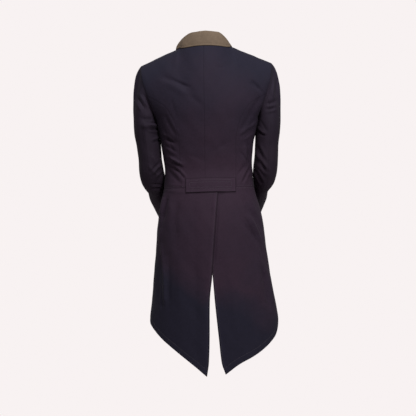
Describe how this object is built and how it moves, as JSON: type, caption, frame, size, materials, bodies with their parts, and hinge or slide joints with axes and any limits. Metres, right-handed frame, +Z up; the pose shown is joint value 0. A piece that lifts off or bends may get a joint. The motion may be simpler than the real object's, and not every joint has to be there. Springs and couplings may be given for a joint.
{
  "type": "dressage tailcoat",
  "caption": "Worn-shape riding tailcoat, long split tails lapped at the back vent, fall collar, two-piece sleeves, stitched back belt, buttoned cutaway front, open and empty inside.",
  "frame": {"origin": "middle of the neck opening, level with the inner ends of the shoulder seams, where the wearer's neck and shoulders carry the coat", "axes": "+Z up along the wearer's spine, -Y the way the wearer faces, +X the wearer's left"},
  "size_m": [0.4662, 0.3567, 1.0568],
  "materials": {
    "body_cloth": "matte dark navy stretch cloth with a plum cast",
    "collar_cloth": "matte taupe brown cloth",
    "button": "satin dark navy"
  },
  "bodies": {
    "root": {"back_left": "body_cloth", "back_right": "body_cloth", "side_body_left": "body_cloth", "side_body_right": "body_cloth", "front_left": "body_cloth", "front_right": "body_cloth", "lapel_left": "body_cloth", "lapel_right": "body_cloth", "sleeve_top_left": "body_cloth", "sleeve_top_right": "body_cloth", "sleeve_under_left": "body_cloth", "sleeve_under_right": "body_cloth", "tail_left": "body_cloth", "tail_right": "body_cloth", "back_belt": "body_cloth", "collar": "collar_cloth", "front_button_1": "button", "front_button_2": "button", "front_button_3": "button"}
  },
  "joints": []
}
